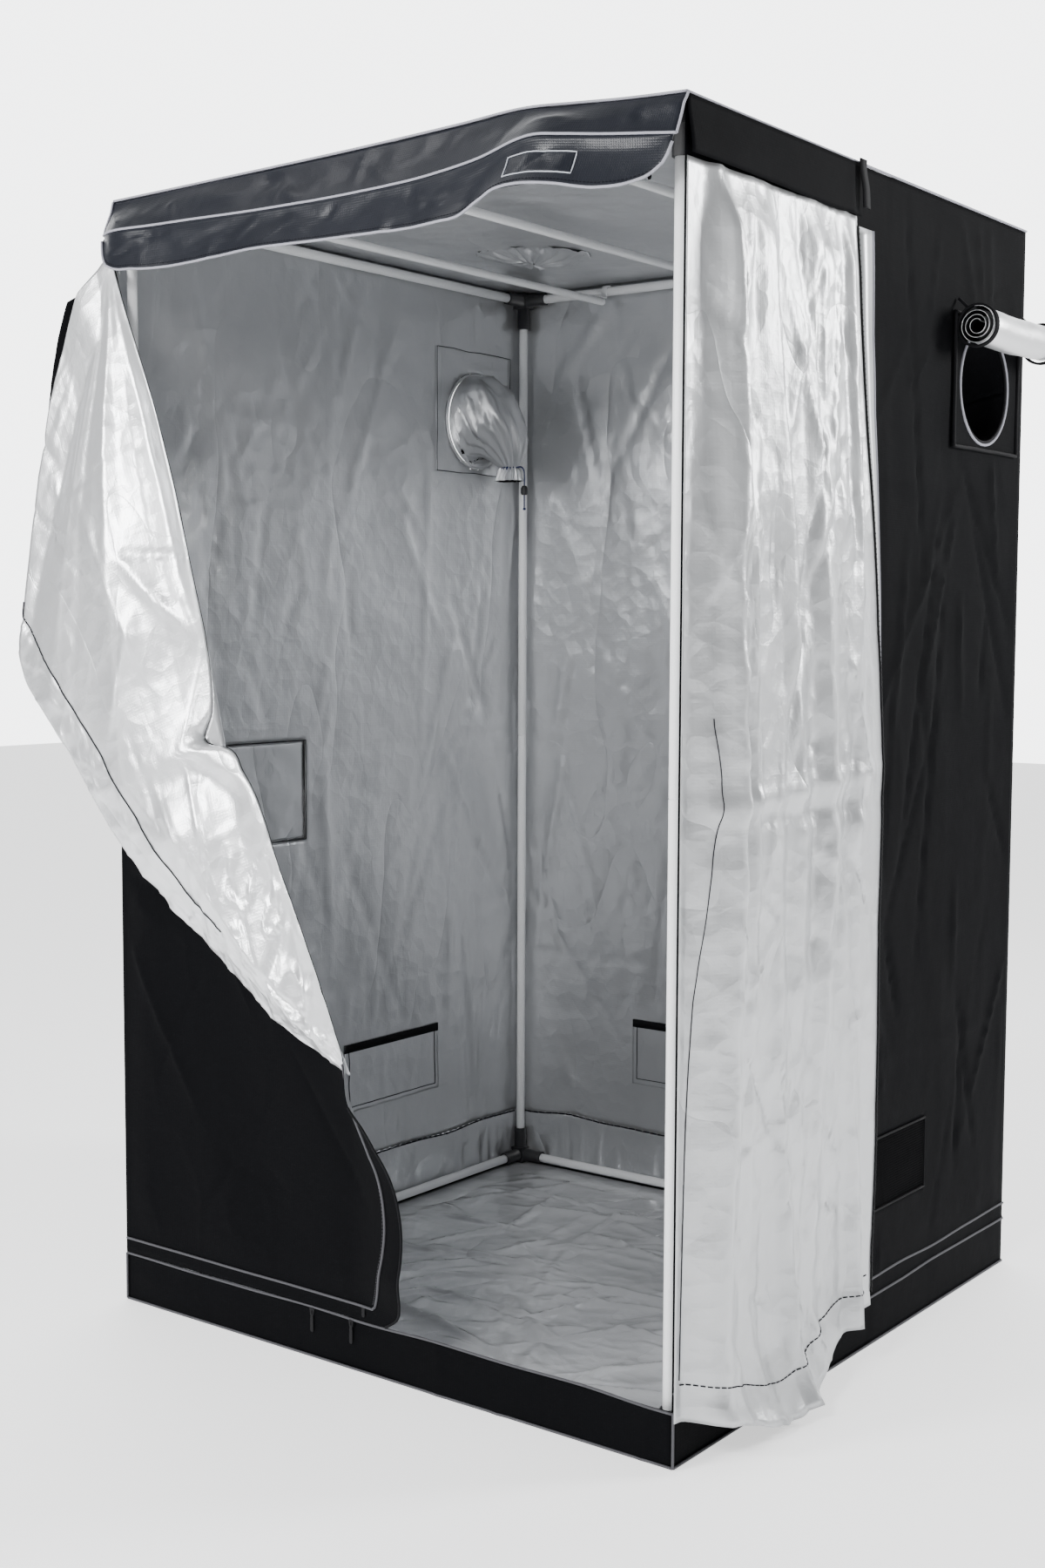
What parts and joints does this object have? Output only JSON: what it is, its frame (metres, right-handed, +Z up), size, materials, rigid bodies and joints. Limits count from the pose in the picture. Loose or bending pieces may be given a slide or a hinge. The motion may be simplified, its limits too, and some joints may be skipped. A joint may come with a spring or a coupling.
{
  "type": "fabric enclosure tent",
  "caption": "Tall square fabric enclosure on a tube frame, black outside and silver inside, with two folding front doors, duct ports and vents.",
  "frame": {"origin": "centre of the ground sheet's underside, which rests on the floor", "axes": "+X to the right as seen from the front, +Y from the front to the back, +Z up"},
  "size_m": [1.515, 1.2749, 2],
  "materials": {
    "skin_black": "matt woven polyester",
    "skin_header": "matt woven polyester, coated",
    "skin_silver": "crinkled reflective film on woven polyester",
    "vent_mesh": "fine net",
    "trim_grey": "grey woven piping",
    "tube_white": "white powder coat",
    "connector_plastic": "moulded, slightly glossy",
    "slider_metal": "dark plated",
    "window_film": "flexible clear film",
    "cord_blue": "round braided cord"
  },
  "bodies": {
    "shell": {"connector_bottom_front_left": "connector_plastic", "connector_bottom_front_right": "connector_plastic", "connector_bottom_back_left": "connector_plastic", "connector_bottom_back_right": "connector_plastic", "connector_top_front_left": "connector_plastic", "connector_top_front_right": "connector_plastic", "connector_top_back_left": "connector_plastic", "connector_top_back_right": "connector_plastic", "post_lower_front_left": "tube_white", "post_lower_front_right": "tube_white", "post_lower_back_left": "tube_white", "post_lower_back_right": "tube_white", "post_upper_front_left": "tube_white", "post_upper_front_right": "tube_white", "post_upper_back_left": "tube_white", "post_upper_back_right": "tube_white", "beam_bottom_front": "tube_white", "beam_bottom_back": "tube_white", "beam_bottom_left": "tube_white", "beam_bottom_right": "tube_white", "beam_top_front": "tube_white", "beam_top_back": "tube_white", "beam_top_left": "tube_white", "beam_top_right": "tube_white", "ground_sheet": "skin_black", "left_wall": "skin_black", "right_wall": "skin_black", "back_wall": "skin_black", "roof_panel": "skin_black", "front_sill": "skin_black", "header_zip_tape": "skin_black", "left_door_lower": "skin_black", "right_door_strap": "skin_black", "front_header": "skin_header", "floor_liner": "skin_silver", "right_port_cover_roll": "skin_silver", "roof_port_sleeve": "skin_silver", "left_vent_mesh": "vent_mesh", "right_vent_mesh": "vent_mesh", "back_vent_mesh": "vent_mesh", "left_window_pane": "window_film", "right_port_collar": "trim_grey"},
    "right_door": {"right_door": "skin_silver"},
    "left_flap": {"left_door_flap": "skin_silver"},
    "left_corner": {"left_door_corner": "skin_silver"},
    "header_flap": {"header_flap": "skin_header"},
    "crossbar_left": {"roof_crossbar_left": "tube_white"},
    "crossbar_middle": {"roof_crossbar_middle": "tube_white"},
    "crossbar_right": {"roof_crossbar_right": "tube_white"},
    "header_slider_left": {"header_zip_slider_left": "slider_metal"},
    "header_slider_right": {"header_zip_slider_right": "slider_metal"},
    "sill_slider_left": {"sill_zip_slider_left": "slider_metal"},
    "sill_slider_right": {"sill_zip_slider_right": "slider_metal"},
    "centre_slider": {"centre_zip_slider": "slider_metal"},
    "left_vent_cover": {"left_vent_cover": "skin_silver"},
    "right_vent_cover": {"right_vent_cover": "skin_silver"},
    "back_vent_cover": {"back_vent_cover": "skin_silver"},
    "port_sleeve": {"left_port_sleeve": "skin_silver", "left_port_drawstring": "cord_blue"},
    "cord_lock": {"left_port_cord_lock": "connector_plastic"}
  },
  "joints": [
    {"name": "right_door_swing", "type": "hinge", "parent": "shell", "child": "right_door", "pos_m": [0.602, -0.6029, 0.97], "axis": [0, 0, 1], "range_deg": [-270, 0]},
    {"name": "left_flap_fold", "type": "hinge", "parent": "shell", "child": "left_flap", "pos_m": [-0.6, -0.6037, 1.905], "axis": [0.3783, 0, -0.9257], "range_deg": [-172, 0]},
    {"name": "left_corner_fold", "type": "hinge", "parent": "left_flap", "child": "left_corner", "pos_m": [-0.6, -0.6037, 1.905], "axis": [-0.3285, -0.0927, -0.9399], "range_deg": [-176, 0]},
    {"name": "header_flap_lift", "type": "hinge", "parent": "shell", "child": "header_flap", "pos_m": [0, -0.63732, 1.92613], "axis": [-1, 0, 0], "range_deg": [0, 75]},
    {"name": "crossbar_left_slide", "type": "slide", "parent": "shell", "child": "crossbar_left", "axis": [1, 0, 0], "range_m": [-0.12, 0.12]},
    {"name": "crossbar_middle_slide", "type": "slide", "parent": "shell", "child": "crossbar_middle", "axis": [1, 0, 0], "range_m": [-0.12, 0.12]},
    {"name": "crossbar_right_slide", "type": "slide", "parent": "shell", "child": "crossbar_right", "axis": [1, 0, 0], "range_m": [-0.12, 0.12]},
    {"name": "header_slider_left_run", "type": "slide", "parent": "shell", "child": "header_slider_left", "axis": [1, 0, 0], "range_m": [0, 0.52]},
    {"name": "header_slider_right_run", "type": "slide", "parent": "shell", "child": "header_slider_right", "axis": [-1, 0, 0], "range_m": [0, 0.52]},
    {"name": "sill_slider_left_run", "type": "slide", "parent": "shell", "child": "sill_slider_left", "axis": [-1, 0, 0], "range_m": [0, 0.42]},
    {"name": "sill_slider_right_run", "type": "slide", "parent": "shell", "child": "sill_slider_right", "axis": [1, 0, 0], "range_m": [0, 0.5]},
    {"name": "centre_slider_run", "type": "slide", "parent": "shell", "child": "centre_slider", "axis": [0, 0, 1], "range_m": [0, 0.16]},
    {"name": "left_vent_cover_fold", "type": "hinge", "parent": "shell", "child": "left_vent_cover", "pos_m": [-0.5947, 0.1445, 0.227], "axis": [0, 1, 0], "range_deg": [0, 160]},
    {"name": "right_vent_cover_fold", "type": "hinge", "parent": "shell", "child": "right_vent_cover", "pos_m": [0.5947, 0.0955, 0.227], "axis": [0, -1, 0], "range_deg": [0, 160]},
    {"name": "back_vent_cover_fold", "type": "hinge", "parent": "shell", "child": "back_vent_cover", "pos_m": [-0.1255, 0.5947, 0.227], "axis": [1, 0, 0], "range_deg": [0, 160]},
    {"name": "port_sleeve_lift", "type": "hinge", "parent": "shell", "child": "port_sleeve", "pos_m": [-0.592, 0.43, 1.797], "axis": [0, -1, 0], "range_deg": [0, 70]},
    {"name": "cord_lock_slide", "type": "slide", "parent": "port_sleeve", "child": "cord_lock", "axis": [0, 0, -1], "range_m": [0, 0.02]}
  ],
  "couplings": [
    {"joint": "left_corner_fold", "follows": "left_flap_fold", "ratio": 1.0233}
  ]
}
